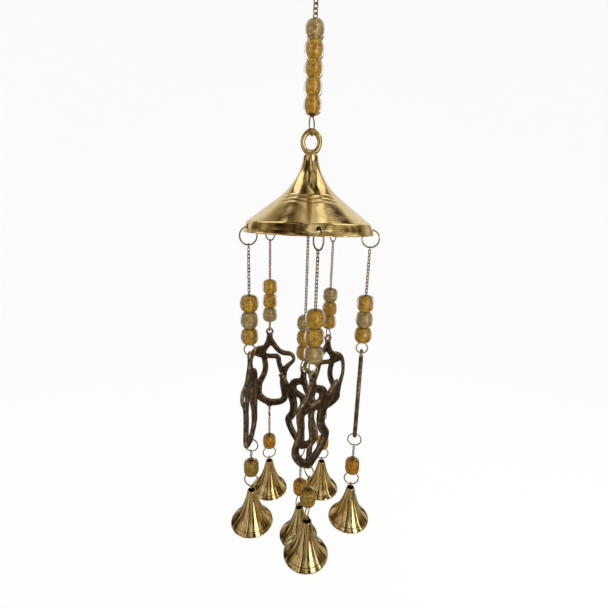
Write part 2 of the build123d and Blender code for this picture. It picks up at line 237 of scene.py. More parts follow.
# brass painted dark as shade, for the insides of links, inner walls and the cut of a turned line
brassPaintedShade = wireBrass("brassPaintedShade", [
    (0.30, (0.020, 0.013, 0.007)), (0.5, (0.07, 0.048, 0.022)), (0.7, (0.18, 0.13, 0.06))], 0.4)
bronze = charmBronze()
glass = blownGlass("clearGlass", (0.70, 0.70, 0.64), (0.92, 0.92, 0.89), 0.03)
amberGlass = blownGlass("amberGlass", (0.78, 0.54, 0.18), (0.95, 0.83, 0.52), 0.09)
amberFoil = foilCore("amberFoil", [
    (0.28, (0.10, 0.037, 0.003)), (0.45, (0.38, 0.185, 0.009)),
    (0.6, (0.56, 0.31, 0.02)), (0.76, (0.88, 0.62, 0.14))])
paleFoil = foilCore("paleFoil", [
    (0.32, (0.24, 0.115, 0.010)), (0.47, (0.36, 0.22, 0.045)),
    (0.58, (0.40, 0.33, 0.18)), (0.76, (0.66, 0.62, 0.48))])
oliveFoil = foilCore("oliveFoil", [
    (0.28, (0.12, 0.075, 0.012)), (0.45, (0.27, 0.19, 0.035)),
    (0.6, (0.42, 0.32, 0.08)), (0.78, (0.72, 0.61, 0.26))])
print("materials made")


def finishPiece(name, bm, materials, body, nodes, sharp=40):
    # the bmesh becomes a smooth piece that rides on its body and stands for the named nodes
    mesh = bpy.data.meshes.new(name)
    bm.to_mesh(mesh)
    bm.free()
    for material in materials:
        mesh.materials.append(material)
    for polygon in mesh.polygons:
        polygon.use_smooth = True
    mesh.set_sharp_from_angle(angle=math.radians(sharp))
    piece = bpy.data.objects.new(name, mesh)
    bpy.context.scene.collection.objects.link(piece)
    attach(piece, body)
    if nodes:
        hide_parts(*nodes)
    return piece


def curveRun(points, count=10):
    # a smooth run through points, with handles along each point's own direction
    points = [Vector(p) for p in points]
    run = [points[0]]
    for i in range(len(points) - 1):
        before = points[max(i - 1, 0)]
        after = points[min(i + 2, len(points) - 1)]
        a, b = points[i], points[i + 1]
        reach = (b - a).length / 3
        leave = (b - before).normalized() * reach
        arrive = (after - a).normalized() * reach
        run += geometry.interpolate_bezier(a, a + leave, b - arrive, b, count + 1)[1:]
    return run


def partMesh(bm, merge=True):
    # one closed part as a mesh of its own, ready to stamp
    if merge:
        bmesh.ops.remove_doubles(bm, verts=bm.verts, dist=1e-7)
    bmesh.ops.recalc_face_normals(bm, faces=bm.faces)
    mesh = bpy.data.meshes.new("part")
    bm.to_mesh(mesh)
    bm.free()
    return mesh


def stamp(bm, mesh, matrix, keep=False):
    # a copy of the part's mesh joins the bmesh at the matrix
    start = len(bm.verts)
    bm.from_mesh(mesh)
    bm.verts.ensure_lookup_table()
    bmesh.ops.transform(bm, matrix=matrix, verts=bm.verts[start:])
    if not keep:
        bpy.data.meshes.remove(mesh)


def at(x, y, z, heading=0.0):
    return Matrix.Translation(Vector((x, y, z)) * mm) @ Matrix.Rotation(math.radians(heading), 4, "Z")


def latheMesh(outline, steps):
    # a closed outline of (radius, height) turned into a solid of revolution
    bm = bmesh.new()
    verts = [bm.verts.new((r * mm, 0, z * mm)) for r, z in outline]
    edges = [bm.edges.new((a, b)) for a, b in zip(verts, verts[1:] + verts[:1])]
    bmesh.ops.spin(bm, geom=verts + edges, cent=(0, 0, 0), axis=(0, 0, 1), angle=2 * math.pi,
                   steps=steps, use_merge=True)
    return partMesh(bm)


def ringMesh(outside, wire, seam=90, steps=36, sides=8, cut=3.0):
    # an upright ring of wire in XZ, its cut ends closed up, seam degrees round from local X
    bm = bmesh.new()
    made = bmesh.ops.create_circle(bm, segments=sides, radius=wire / 2 * mm,
                                   matrix=Matrix.Translation(((outside - wire) / 2 * mm, 0, 0)))
    rim = made["verts"]
    edges = list({e for v in rim for e in v.link_edges})
    turned = bmesh.ops.spin(bm, geom=rim + edges, cent=(0, 0, 0), axis=(0, 1, 0),
                            angle=math.radians(360 - cut),
                            steps=steps, use_merge=cut == 0)
    if cut:
        last = [e for e in turned["geom_last"] if isinstance(e, bmesh.types.BMEdge)]
        for loop in (edges, last):
            bmesh.ops.contextual_create(bm, geom=loop)
    bmesh.ops.rotate(bm, cent=(0, 0, 0), matrix=Matrix.Rotation(math.radians(-seam), 3, "Y"), verts=bm.verts)
    return partMesh(bm, merge=cut == 0)


def linkMesh(size, sides=5, steps=8):
    # one long link in XZ, its half turns pulled apart by the straight sides and its inner faces painted dark as the
    # shade between interlocked links
    inwards = -0.2
    bend = (size["width"] - size["wire"]) / 2
    half = (size["pitch"] + size["wire"] + size["gap"] - 2 * bend) / 2
    bm = bmesh.new()
    place = Matrix.Rotation(math.pi / steps, 4, "Y") @ Matrix.Translation((bend * mm, 0, 0))
    rim = bmesh.ops.create_circle(bm, segments=sides, radius=size["wire"] / 2 * mm, matrix=place)["verts"]
    edges = list({e for v in rim for e in v.link_edges})
    bmesh.ops.spin(bm, geom=rim + edges, cent=(0, 0, 0), axis=(0, 1, 0), angle=2 * math.pi,
                   steps=steps, use_merge=True)
    for side in (1, -1):
        part = [v for v in bm.verts if v.co.z * side > 0]
        bmesh.ops.translate(bm, vec=(0, 0, side * half * mm), verts=part)
    mesh = partMesh(bm)
    for polygon in mesh.polygons:
        axis = Vector((0, 0, max(-half * mm, min(half * mm, polygon.center.z))))
        outwards = (polygon.center - axis).normalized()
        # faces turned in towards the link's own axis take the painted shade
        polygon.material_index = 1 if polygon.normal.dot(outwards) < inwards else 0
    return mesh


def addChain(bm, x, y, top, count, size, first, last):
    # hooked links downwards from the topmost wire centre, lying half flat to the front between the ends
    settle = 3
    turn = (last - first - 90 * (count - 1) + 90) % 180 - 90
    middle = top - (size["pitch"] + size["wire"] + size["gap"]) / 2
    link = linkMesh({**size, "wire": size["look"]})
    for i in range(count):
        heading = first + (90 + turn / (count - 1)) * i
        side = heading % 180
        flat = size["lie"] if side < 90 else 180 - size["lie"]
        heading += (flat - side) * min(i / settle, (count - 1 - i) / settle, 1)
        stamp(bm, link, at(x, y, middle - i * size["pitch"], heading), keep=True)
    bpy.data.meshes.remove(link)


def addRing(bm, outside, heading, centre, seam):
    stamp(bm, ringMesh(outside, wires["ring"], seam), at(*centre, heading))


# wire sizes in millimetres; look is the wire as it is drawn, a little fuller than the solids' own
wires = {"ring": 0.9, "rimRing": 11.2, "charmRing": 8.2, "dropRing": 10.2, "rest": 0.3, "sink": 0.12}
fineChain = {"width": 2.0, "wire": 0.45, "look": 0.6, "pitch": 2.0, "gap": 0.04, "lie": 30}
topChain = {"width": 3.2, "wire": 0.6, "look": 0.72, "pitch": 2.2, "gap": 0.04, "lie": 30}


def hook(size):
    # how far a link's topmost wire centre reaches over the ring that it hangs in
    return (wires["ring"] + size["wire"]) / 2 + size["gap"]


def ringReach(outside):
    # from a ring's centre to the middle of its wire
    return (outside - wires["ring"]) / 2


def linkCount(top, crown, size):
    # the links between the topmost wire centre and the crown of the ring below
    return round((top - crown + hook(size) - size["wire"] - size["gap"]) / size["pitch"])


def label(strand):
    return strand.title().replace("_", "")


def makeHanger():
    look = {"outside": 15.0, "wire": 1.3, "seam": 60, "steps": 64, "sides": 14}
    centre = [(low + high) / 2 / mm for low, high in zip(*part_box("hanger_ring"))]
    bm = bmesh.new()
    ring = ringMesh(look["outside"], look["wire"], look["seam"], look["steps"], look["sides"])
    stamp(bm, ring, at(*centre))
    finishPiece("hangerRing", bm, [brassWire], "hanger", ["hanger_ring"])


def makeTopChain():
    look = {"ringTurn": 74, "seam": 200}
    low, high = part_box("top_chain")
    ringCentre = low[2] / mm + wires["rimRing"] / 2
    start = high[2] / mm - topChain["wire"] / 2
    count = linkCount(start, ringCentre + ringReach(wires["rimRing"]), topChain)
    bm = bmesh.new()
    addChain(bm, 0, 0, start, count, topChain, 90, 0)
    addRing(bm, wires["rimRing"], look["ringTurn"], (0, 0, ringCentre), look["seam"])
    print("top chain:", count, "links")
    finishPiece("topChain", bm, [brassWire, brassPaintedShade], "top_strand", ["top_chain"])


def beadOutline(diameter, height, bore, face, squareness):
    # solid glass from the bore out: a flat end, then a rounded wall
    steps = 16
    dimple = 0.15
    half = height / 2
    wall = []
    for i in range(steps + 1):
        angle = math.pi * (i / steps - 0.5)
        rise = math.copysign(abs(math.sin(angle)) ** squareness, angle)
        reach = max(math.cos(angle), 0.0) ** squareness
        wall.append((face + (diameter / 2 - face) * reach, half * rise))
    return [(bore, -half + dimple)] + wall + [(bore, half - dimple)]


def coreOutline(inner, outer, height, ribs):
    # barrel-shaped foil sleeve with its wound ribs
    taper = 0.30
    ribHeight = 0.035
    half = height / 2
    count = ribs * 4
    wall = []
    for i in range(count + 1):
        along = abs(2 * i / count - 1)
        radius = outer * (1 - taper * along ** 2.4) + ribHeight * math.cos(math.pi * i / 2)
        wall.append((radius, -half + height * i / count))
    return [(inner, -half)] + wall + [(inner, half)]


beadMaking = {"spread": (-0.035, 0.012), "coreSpread": (-0.08, 0.08), "slack": 0.02, "boreSlack": 0.1,
              "coreShort": 0.3, "steps": 40, "coreSteps": 32, "waves": (900, 800, 700)}


def makeBeads(name, body, node, x, y, bottom, count, look, seed):
    # glass beads wound over ribbed foil cores, each a little different
    making = beadMaking
    rng = random.Random(seed)
    shell, cores = bmesh.new(), bmesh.new()
    for i in range(count):
        place = at(x, y, bottom + look["height"] / 2 + i * (look["height"] + look["gap"]), rng.uniform(0,
                                        360))
        diameter = look["diameter"] * (1 + rng.uniform(*making["spread"]))
        core = look["core"] * (1 + rng.uniform(*making["coreSpread"]))
        outline = beadOutline(diameter, look["height"] - making["slack"], look["bore"] + making["boreSlack"],
                              look["face"], look["square"])
        stamp(shell, latheMesh(outline, making["steps"]), place)
        start = len(cores.faces)
        sleeve = coreOutline(look["bore"], core, look["height"] - making["coreShort"], look["ribs"])
        stamp(cores, latheMesh(sleeve, making["coreSteps"]), place)
        cores.faces.ensure_lookup_table()
        for face in cores.faces[start:]:
            face.material_index = 1 if i in look["pale"] else 0
    shell.normal_update()
    waveX, waveY, waveZ = making["waves"]
    for v in shell.verts:
        wave = math.sin(v.co.x * waveX + seed) * math.cos(v.co.y * waveY) * math.sin(v.co.z * waveZ + 2 * seed)
        v.co += v.normal * wave * look["wobble"] * mm
    finishPiece(name + "Glass", shell, [look["glass"]], body, [node], sharp=60)
    finishPiece(name + "Core", cores, look["foils"], body, [], sharp=80)


def paintShadeInside(bm, x, y, line=None):
    # the wall that faces the axis gets painted shade, and so does the cut of a turned line
    bm.normal_update()
    for face in bm.faces:
        centre = face.calc_center_median()
        outward = Vector((centre.x - x * mm, centre.y - y * mm, 0))
        inside = face.normal.dot(outward) < -0.01 * mm
        cut = line is not None and abs(centre.z / mm - line) < bellLook["lineReach"]
        face.material_index = 1 if inside or cut else 0


def innerWall(run, start, wall):
    # the run from start on, moved inwards by the wall's thickness
    inner = []
    for i in range(start, len(run) - 1):
        along = (run[i + 1] - run[i - 1]).normalized()
        inner.append((run[i].x + along.y * wall, run[i].y - along.x * wall))
    return inner


def makeCanopy():
    # spun trumpet canopy with three engraved rings, a short skirt and five ring holes
    look = {"wall": 0.9, "collarTop": 44.0, "collar": 4.2, "collarHole": 1.6, "skirtTop": (37.6, 6.2),
            "rim": 40.0, "curveSteps": 14, "innerFrom": 4, "steps": 160, "rings": [0.645, 0.69, 0.735],
            "ringDepth": 0.26, "ringWidth": 0.15, "holeRadius": 1.5, "holeDrop": 0.3, "drill": 7, "sharp": 35}
    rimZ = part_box("canopy")[0][2] / mm
    outer = curveRun([(look["collar"], look["collarTop"], 0), (4.75, 40.2, 0), (7.2, 33.5, 0), (14.3, 23.9,
                                        0),
                      (26.6, 14.2, 0), (*look["skirtTop"], 0)], look["curveSteps"])
    last = len(outer) - 1
    grooved = []
    for i, p in enumerate(outer):
        if min(abs(i / last - place) for place in look["rings"]) * 2 * last < 1:
            along = (outer[i + 1] - outer[i - 1]).normalized() * look["ringWidth"]
            deep = p + Vector((along.y, -along.x, 0)) * look["ringDepth"]
            grooved += [p - along, deep, p + along]
        else:
            grooved.append(p)
    grooved = [(p.x, p.y) for p in grooved]
    rim = look["rim"]
    lip = [(37.75, 5.9), (38.9, 3.0), (39.7, 0.75), (rim, 0.45), (rim - 0.05, 0.12), (rim - 0.3, 0),
           (rim - 0.75, 0.02), (rim - 0.95, 0.25), (37.95, 3.0), (36.75, 5.75)]
    hole = look["collarHole"]
    top = [(hole, look["collarTop"] - 1.2), (hole, look["collarTop"]), (look["collar"] - 0.35,
                                        look["collarTop"])]
    inner = innerWall(outer, look["innerFrom"], look["wall"])
    outline = [(look["collar"], look["collarTop"] - 0.3)] + grooved[1:] + lip + list(reversed(inner)) + top
    bm = bmesh.new()
    stamp(bm, latheMesh(outline, look["steps"]), at(0, 0, rimZ))
    paintShadeInside(bm, 0, 0)
    canopy = finishPiece("canopyShell", bm, [brassCanopy, brassPaintedShade], "canopy", ["canopy"],
                         look["sharp"])
    drillRimHoles(canopy, look)


def drillRimHoles(canopy, look):
    # the five holes that the rim rings hang in
    drills = bmesh.new()
    for name in strandNames[:5]:
        pivot = pivotOf(name + "_strand_swing")
        azimuth = math.degrees(math.atan2(pivot.x, -pivot.y))
        place = at(pivot.x, pivot.y, pivot.z + look["holeDrop"],
                   azimuth) @ Matrix.Rotation(math.radians(90), 4, "X")
        bmesh.ops.create_cone(drills, cap_ends=True, segments=24, radius1=look["holeRadius"] * mm,
                              radius2=look["holeRadius"] * mm, depth=look["drill"] * mm, matrix=place)
    cutterMesh = bpy.data.meshes.new("ringHoles")
    drills.to_mesh(cutterMesh)
    drills.free()
    cutter = bpy.data.objects.new("ringHoles", cutterMesh)
    bpy.context.scene.collection.objects.link(cutter)
    cut = canopy.modifiers.new("ringHoles", "BOOLEAN")
    cut.object = cutter
    cut.solver = "EXACT"
    bakeModifiers(canopy)
    bpy.data.objects.remove(cutter)
    canopy.data.set_sharp_from_angle(angle=math.radians(look["sharp"]))


def bakeModifiers(piece):
    # the modifiers' result becomes the piece's own mesh
    bpy.context.view_layer.update()
    depsgraph = bpy.context.evaluated_depsgraph_get()
    mesh = bpy.data.meshes.new_from_object(piece.evaluated_get(depsgraph), depsgraph=depsgraph)
    piece.modifiers.clear()
    old = piece.data
    piece.data = mesh
    bpy.data.meshes.remove(old)


def barMesh(points):
    # a tapered round bar along (x, z, radius) points
    curve = bpy.data.curves.new("bar", "CURVE")
    curve.dimensions = "3D"
    curve.bevel_depth = 1.0
    curve.bevel_resolution = 4
    curve.use_fill_caps = True
    curve.resolution_u = 6
    spline = curve.splines.new("NURBS")
    spline.points.add(len(points) - 1)
    for point, (x, z, radius) in zip(spline.points, points):
        point.co = (x, 0, z, 1)
        point.radius = radius
    spline.order_u = 3
    spline.use_endpoint_u = True
    holder = bpy.data.objects.new("bar", curve)
    bpy.context.scene.collection.objects.link(holder)
    bpy.context.view_layer.update()
    mesh = bpy.data.meshes.new_from_object(holder)
    bpy.data.objects.remove(holder)
    bpy.data.curves.remove(curve)
    return mesh


charmLook = {
    "thickness": 2.8, "fullness": 1.14, "crown": 1.7, "voxel": 0.4, "eyeRadius": 2.22, "eyeBar": 0.78,
    "eyeStretch": 1.55, "drop": 60.5, "wearHighlightPasses": 3, "wearHighlightGain": 9,
    "eared": [
        [(0, -2.2, 2.0), (0.2, -8.2, 2.4), (-4.5, -14.3, 2.0), (-4.8, -19.8, 1.9), (-3.2, -25.8, 2.0),
         (-3.2, -32, 2.0),
         (-5.2, -37.6, 2.1), (-8.2, -42.8, 2.3), (-9.6, -48.5, 3.4), (-9.8, -52.5, 3.2), (-4.8, -57.6, 2.5),
         (1.0, -59.8, 2.6), (8.5, -59, 2.4), (12.6, -55.4, 2.4), (11.6, -48.8, 2.4), (10.6, -41.4, 2.6),
         (10.8, -33, 2.3), (13.8, -27.4, 1.8), (19.4, -22.6, 1.1), (16.9, -17.3, 1.6), (10, -17.4, 1.9),
         (5, -13.6, 1.8), (0.4, -6.6, 2.2)],
        [(-5.0, -19.8, 1.9), (1, -20.2, 1.7), (6.8, -19.6, 1.9), (7.0, -26, 1.7), (10.6, -34.6, 2.2)],
        [(-3.4, -13.4, 1.8), (-8.2, -13.8, 2.0), (-12.4, -16.8, 1.8), (-14.4, -22.6, 1.4),
         (-14.8, -29.6, 1.3),
         (-13.7, -35.8, 1.5), (-12, -41, 1.8), (-9.6, -48.5, 3.2)],
        [(-4.8, -19.8, 1.9), (-8.8, -18, 3.1), (-12.4, -17, 1.8)],
    ],
    "horned": [
        [(0, -2.2, 2.0), (0, -8.4, 2.3), (-4, -9.8, 2.2), (-9.0, -12.4, 2.6), (-9.2, -18.4, 3.0),
         (-9.6, -23.6, 3.1),
         (-7.6, -29.8, 2.7), (-8.4, -37.6, 2.6), (-13.2, -43.2, 2.6), (-10.6, -49.4, 2.4), (-6, -55.4, 2.4),
         (0, -60.2, 2.6)],
        [(-9.2, -24.6, 3.0), (-13.4, -18.8, 2.2), (-16.8, -12.6, 2.0), (-21.2, -9.2, 1.5)],
        [(0, -7.4, 2.4), (2.8, -14.4, 2.2), (7.6, -19.2, 2.8), (8.6, -25.4, 2.4), (7.0, -33, 2.2),
         (9.6, -40, 2.2),
         (12.2, -46.6, 2.3), (9.4, -53, 2.3), (4.4, -58.4, 2.4), (0, -60.2, 2.6)],
        [(-9.2, -18.6, 2.8), (-1, -21.2, 1.6), (7.4, -21.6, 2.4)],
        [(-1, -21, 1.6), (1.0, -31, 1.6), (-1.8, -41, 1.7), (1.0, -50, 1.7), (0, -58.8, 2.2)],
    ],
}
charmOrder = {"front": ("horned", True), "right": ("eared", False), "back_right": ("eared", True),
              "back_left": ("eared", False), "left": ("eared", True), "centre": ("horned", False)}
charmHeadings = {"front": 40, "right": 80, "back_right": 20, "back_left": 0, "left": 84, "centre": -35}


def makeCharm(strand):
    # cast open-work charm: flattened bars fused by a fine remesh, then softened
    pattern, mirrored = charmOrder[strand]
    look = charmLook
    bm = bmesh.new()
    for points in look[pattern]:
        mesh = barMesh([(x, z, radius * look["fullness"]) for x, z, radius in points])
        for v in mesh.vertices:
            # every bar is as thick as the plate, however wide it is
            v.co.y = math.copysign(min(abs(v.co.y) / look["crown"], 1.0), v.co.y) * look["thickness"] / 2
        bm.from_mesh(mesh)
        bpy.data.meshes.remove(mesh)
    bm.transform(Matrix.Scale(mm, 4))
    outside = 2 * (look["eyeRadius"] + look["eyeBar"])
    for drop in (0, look["drop"]):
        eye = ringMesh(outside, 2 * look["eyeBar"], steps=28, sides=10, cut=0)
        stamp(bm, eye, at(0, 0, -drop) @ Matrix.Diagonal((1, look["eyeStretch"], 1, 1)))
    bmesh.ops.recalc_face_normals(bm, faces=bm.faces)
    if mirrored:
        bmesh.ops.scale(bm, vec=(-1, 1, 1), verts=bm.verts)
        bmesh.ops.reverse_faces(bm, faces=bm.faces)
    bm.transform(at(*pivotOf(strand + "_charm_turn"), charmHeadings[strand]))
    piece = finishPiece("charm" + label(strand), bm, [bronze], strand + "_charm",
                        [strand + "_charm"], sharp=180)
    remesh = piece.modifiers.new("fuse", "REMESH")
    remesh.mode = "VOXEL"
    remesh.voxel_size = look["voxel"] * mm
    soften = piece.modifiers.new("soften", "SMOOTH")
    soften.factor = 0.5
    soften.iterations = 4
    bakeModifiers(piece)
    markWearAndRimHighlight(piece)
    for polygon in piece.data.polygons:
        polygon.use_smooth = True


def markWearAndRimHighlight(piece):
    # how far each point stands proud of the points round it, which is where hands have worn it and where the painted
    # rim highlight goes
    bm = bmesh.new()
    bm.from_mesh(piece.data)
    bm.normal_update()
    bm.verts.ensure_lookup_table()
    proud = []
    for v in bm.verts:
        around = [e.other_vert(v).co for e in v.link_edges]
        middle = sum(around, Vector()) / len(around)
        proud.append((v.co - middle).dot(v.normal) / (charmLook["voxel"] * mm))
    for _ in range(charmLook["wearHighlightPasses"]):
        proud = [(proud[v.index] + sum(proud[e.other_vert(v).index] for e in v.link_edges)) / (len(v.link_edges) + 1)
                 for v in bm.verts]
    bm.free()
    attribute = piece.data.attributes.new("wearAndRimHighlight", "FLOAT", "POINT")
    attribute.data.foreach_set("value", [min(1.0, max(0.0, p * charmLook["wearHighlightGain"])) for p in proud])


rimTwists = {"front": 21}


def makeUpperStrand(strand, seed):
    # the ring at the top, the fine chain, the charm's ring and the string of three beads
    first = pivotOf(strand + "_strand_swing")
    charmHole = pivotOf(strand + "_charm_turn")
    x, y = charmHole.x, charmHole.y
    if strand == "centre":
        outside = wires["charmRing"]
        ringHeading = 90
    else:
        outside = wires["rimRing"]
        ringHeading = math.degrees(math.atan2(first.x, -first.y)) - 90 + rimTwists.get(strand, 0)
    ringCentre = first.z - ringReach(outside)
    top = ringCentre - ringReach(outside) + hook(fineChain)
    charmCentre = charmHole.z + wires["rest"] + ringReach(wires["charmRing"])
    crown = charmCentre + ringReach(wires["charmRing"])
    count = linkCount(top, crown, fineChain)
    charmRingHeading = charmHeadings[strand] + 90
    bm = bmesh.new()
    addChain(bm, x, y, top, count, fineChain, ringHeading + 90, charmRingHeading + 90)
    addRing(bm, outside, ringHeading, (x, y, ringCentre), seam=150 + 40 * seed)
    addRing(bm, wires["charmRing"], charmRingHeading, (x, y, charmCentre), seam=200)
    finishPiece("upperChain" + label(strand), bm, [brassWire, brassPaintedShade], strand + "_upper",
                [strand + "_upper_chain"])
    bottom = crown + wires["ring"] / 2 - wires["sink"]
    look = {"diameter": 11.2, "height": 10.3, "gap": 0.08, "bore": 1.4, "face": 2.15, "core": 3.3, "ribs": 9,
            "square": 0.92, "wobble": 0.1, "pale": {seed % 3}, "glass": glass, "foils": [amberFoil, paleFoil]}
    makeBeads("upperBeads" + label(strand), strand + "_upper", strand + "_upper_beads", x, y, bottom, 3, look,
              seed)
    return count


def makeLowerStrand(strand, seed):
    # the ring under the charm, the short chain, the bell's ring and the bead that rests on it
    dropPivot = pivotOf(strand + "_drop_swing")
    bellPivot = pivotOf(strand + "_bell_swing")
    x, y = dropPivot.x, dropPivot.y
    dropCentre = dropPivot.z - ringReach(wires["dropRing"])
    top = dropCentre - ringReach(wires["dropRing"]) + hook(fineChain)
    bellCentre = bellPivot.z + ringReach(wires["rimRing"])
    crown = bellCentre + ringReach(wires["rimRing"])
    count = linkCount(top, crown, fineChain)
    heading = charmHeadings[strand]
    bellHeading = headingOf(strand + "_bell_swing")
    bm = bmesh.new()
    addChain(bm, x, y, top, count, fineChain, heading + 180, bellHeading + 90)
    addRing(bm, wires["dropRing"], heading + 90, (x, y, dropCentre), seam=150 + 30 * seed)
    addRing(bm, wires["rimRing"], bellHeading, (x, y, bellCentre), seam=20 + 50 * seed)
    finishPiece("lowerChain" + label(strand), bm, [brassWire, brassPaintedShade], strand + "_drop",
                [strand + "_lower_chain"])
    bottom = crown + wires["ring"] / 2 - wires["sink"]
    look = {"diameter": 10.3, "height": 10.8, "gap": 0.0, "bore": 1.4, "face": 2.6, "core": 3.75, "ribs": 7,
            "square": 0.66, "wobble": 0.12, "pale": {0} if strand in ("left", "front") else set(),
            "glass": amberGlass, "foils": [amberFoil, oliveFoil]}
    makeBeads("lowerBead" + label(strand), strand + "_drop", strand + "_lower_bead", x, y, bottom, 1, look,
              20 + seed)
    return count


bellLook = {"height": 27.5, "radius": 15.1, "neck": 2.95, "bore": 2.2, "floor": 4.4, "web": 1.2, "wall": 0.9,
            "steps": 96, "curveSteps": 10, "innerFrom": 18, "neckDrop": 3.0, "groove": 0.19, "line": -24.54,
            "lineReach": 0.27, "pin": 0.9, "pinLoop": 3.6, "play": 0.04, "axis": 0.02, "ball": 5.4,
            "ballDrop": 21.6}


def grooveAt(point, look):
    # the turned line above the lip band, cut in where the profile crosses its height
    if abs(point.y - look["line"]) > look["lineReach"]:
        return [point]
    cut = look["groove"]
    wide = cut * 0.7
    deep = point + Vector((-cut, -cut, 0)) * 0.9
    return [point + Vector((-wide, wide, 0)), deep, point + Vector((wide, -wide, 0))]


def makeBell(strand):
    # spun bell: open neck, wide flare, a cut groove above the lip band
    look = bellLook
    pivot = pivotOf(strand + "_bell_swing")
    top = pivot.z - look["neckDrop"]
    smooth = curveRun([(look["neck"], -0.2, 0), (3.7, -3.8, 0), (4.6, -7.6, 0), (6.7, -13.8, 0), (9.8,
                                        -20.2, 0),
                       (14.2, -25.6, 0)], look["curveSteps"])
    outer = [q for p in smooth for q in grooveAt(p, look)]
    inner = innerWall(smooth, look["innerFrom"], look["wall"])
    lip = look["radius"]
    foot = -look["height"]
    band = [(14.35, foot + 1.65), (14.6, foot + 1.3), (lip - 0.03, foot + 0.45), (lip, foot + 0.2),
            (lip - 0.2, foot), (lip - 0.7, foot), (lip - 0.9, foot + 0.2), (13.6, foot + 1.2)]
    pinHole = look["pin"] / 2 + 0.1
    below = -look["floor"] - look["web"]
    neck = [(2.55, below - 0.3), (pinHole, below), (pinHole, -look["floor"]), (look["bore"], -look["floor"]),
            (look["bore"], -0.25), (look["bore"] + 0.2, 0), (look["neck"] - 0.15, 0)]
    outline = [(p.x, p.y) for p in outer] + band + list(reversed(inner)) + neck
    bm = bmesh.new()
    stamp(bm, latheMesh(outline, look["steps"]), at(pivot.x, pivot.y, top))
    paintShadeInside(bm, pivot.x, pivot.y, top + look["line"])
    finishPiece("bell" + label(strand), bm, [brassBell, brassPaintedShade], strand + "_bell",
                [strand + "_bell"], sharp=38)


def makeEyePin(strand):
    # eye pin through the neck's floor: loop, shank, stop and the loop that carries the clapper
    look = bellLook
    pivot = pivotOf(strand + "_bell_swing")
    top = pivot.z - look["neckDrop"]
    heading = headingOf(strand + "_bell_swing") + 90
    reach = (look["pinLoop"] - look["pin"]) / 2
    radius = look["pin"] / 2
    upper = pivot.z + radius + wires["ring"] / 2 + look["play"] - reach
    lower = pivotOf(strand + "_clapper_swing").z + reach
    stop = top - look["floor"] - look["web"] - look["play"]
    bm = bmesh.new()
    for z, seam in ((upper, 90), (lower, -90)):
        stamp(bm, ringMesh(look["pinLoop"], look["pin"], seam, steps=24, sides=10), at(pivot.x, pivot.y, z,
                                        heading))
    axis = look["axis"]
    shank = [(axis, lower + reach), (radius, lower + reach), (radius, upper - reach), (axis, upper - reach)]
    washer = [(0.3, stop - 0.8), (1.5, stop - 0.8), (1.7, stop - 0.6), (1.7, stop - 0.15), (1.5, stop),
              (0.3, stop)]
    for outline in (shank, washer):
        stamp(bm, latheMesh(outline, 20), at(pivot.x, pivot.y, 0))
    finishPiece("eyePin" + label(strand), bm, [brassCast], strand + "_bell",
                [strand + "_bell_eye"])


def makeClapper(strand):
    # a bent wire loop, a rod and a cast drop
    look = bellLook
    pivot = pivotOf(strand + "_clapper_swing")
    top = pivotOf(strand + "_bell_swing").z - look["neckDrop"]
    heading = headingOf(strand + "_bell_swing")
    reach = (look["pinLoop"] - look["pin"]) / 2
    loop = pivot.z + look["pin"] + look["play"] - reach
    rodTop = loop - reach
    ball = top - look["ballDrop"]
    r = look["ball"] / 2
    bm = bmesh.new()
    stamp(bm, ringMesh(look["pinLoop"], look["pin"], 90, steps=24, sides=10), at(pivot.x, pivot.y, loop,
                                        heading))
    axis = look["axis"]
    drop = [(axis, rodTop), (0.6, rodTop), (0.6, ball + r * 1.05)]
    for angle in (0.35, 0.7, 1.1, 1.5, 1.9, 2.3, 2.7, 3.0, 3.14):
        drop.append((max(r * math.sin(angle), axis), ball + r * math.cos(angle)))
    stamp(bm, latheMesh(drop, 24), at(pivot.x, pivot.y, 0))
    finishPiece("clapper" + label(strand), bm, [brassCast], strand + "_clapper",
                [strand + "_clapper"])


def makeTopEye():
    # cast oval eye on its stem, with the shank and the loop under the collar
    look = {"width": 12.6, "height": 14.2, "bar": 2.9, "shank": 1.5, "loop": 6.4, "loopWire": 1.2}
    low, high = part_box("top_eye")
    eyeCentre = high[2] / mm - look["height"] / 2
    loopCentre = low[2] / mm + look["loop"] / 2
    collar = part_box("canopy")[1][2] / mm
    bm = bmesh.new()
    oval = (look["height"] - look["bar"]) / (look["width"] - look["bar"])
    ring = ringMesh(look["width"], look["bar"], steps=64, sides=20, cut=0)
    stamp(bm, ring, at(0, 0, eyeCentre) @ Matrix.Diagonal((1, 1, oval, 1)))
    foot = [(0.02, collar + 1.6), (1.9, collar + 1.5), (2.3, collar + 0.8), (2.9, collar + 0.35), (3.3,
                                        collar + 0.05),
            (look["shank"], collar + 0.02), (look["shank"], loopCentre + look["loop"] / 2 - 0.6),
            (0.02, loopCentre + look["loop"] / 2 - 0.6)]
    stamp(bm, latheMesh(foot, 32), at(0, 0, 0))
    stamp(bm, ringMesh(look["loop"], look["loopWire"], steps=40, sides=12), at(0, 0, loopCentre))
    finishPiece("topEye", bm, [brassBell], "canopy", ["top_eye"])


makeHanger()
makeTopChain()
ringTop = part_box("top_chain")[0][2] / mm + wires["rimRing"]
makeBeads("topBeads", "top_strand", "top_beads", 0, 0, ringTop - wires["sink"], 5,
          {"diameter": 10.9, "height": 8.8, "gap": 0.08, "bore": 1.95, "face": 2.7, "core": 3.0, "ribs": 8,
           "square": 0.95, "wobble": 0.08, "pale": {4}, "glass": glass, "foils": [amberFoil, paleFoil]}, 3)
makeCanopy()
makeTopEye()
nut = frame["nodes"]["eye_nut"]
for materialSlot in nut.material_slots:
    materialSlot.material = brassCast
print("canopy and top strand made")

